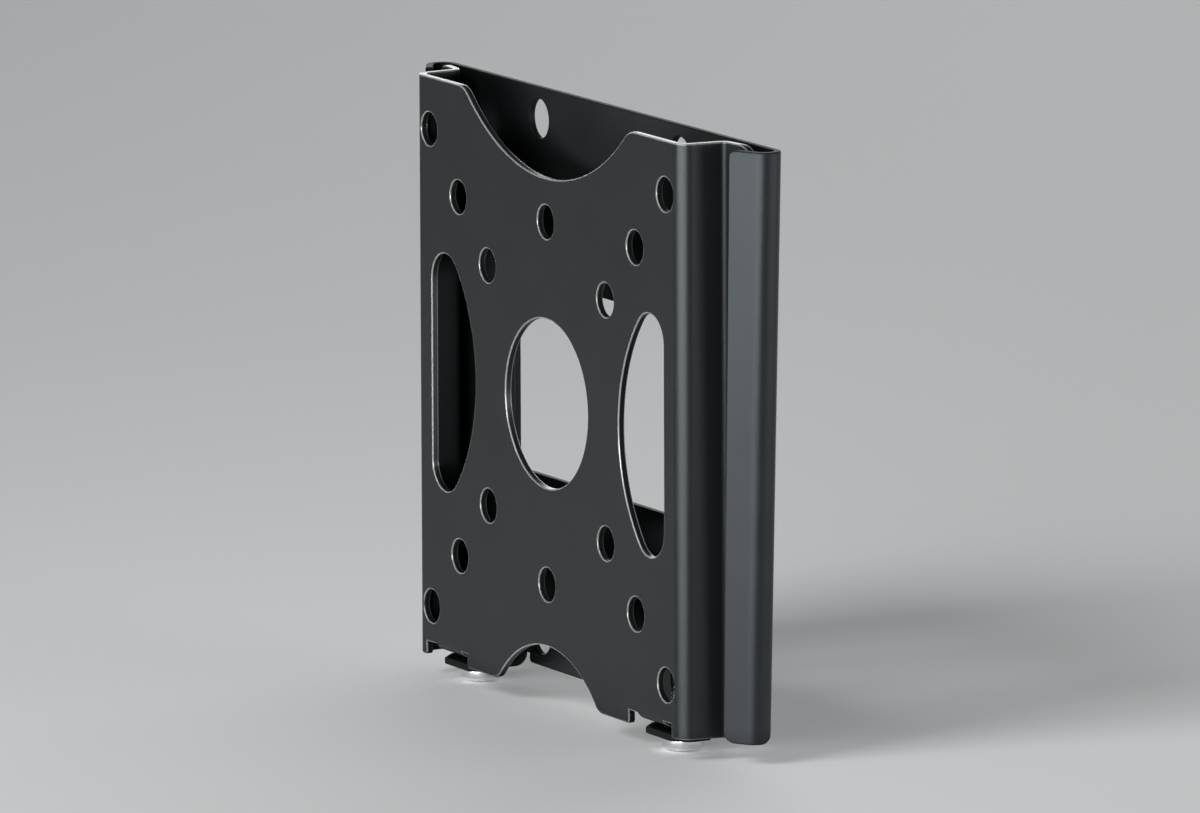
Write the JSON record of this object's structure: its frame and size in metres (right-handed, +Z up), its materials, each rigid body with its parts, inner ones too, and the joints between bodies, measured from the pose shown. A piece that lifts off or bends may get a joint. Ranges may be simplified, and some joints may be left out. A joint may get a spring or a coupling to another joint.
{
  "type": "fixed tv wall bracket",
  "caption": "Slim fixed wall bracket for a small tv: a hooked tv plate slides down behind the lips of a folded wall plate and is locked from below by screws.",
  "frame": {"origin": "on the wall, at the wall plate's back face, in the middle of its wall holes", "axes": "+X to the right seen from the front, +Y into the wall, +Z up"},
  "size_m": [0.1424, 0.0162, 0.126],
  "materials": {
    "powder_coat": "satin black powder coat",
    "zinc": "bright zinc plating"
  },
  "bodies": {
    "root": {"wall_plate": "powder_coat", "tv_plate": "powder_coat", "locking_screw_left": "zinc", "locking_screw_right": "zinc"}
  },
  "joints": []
}
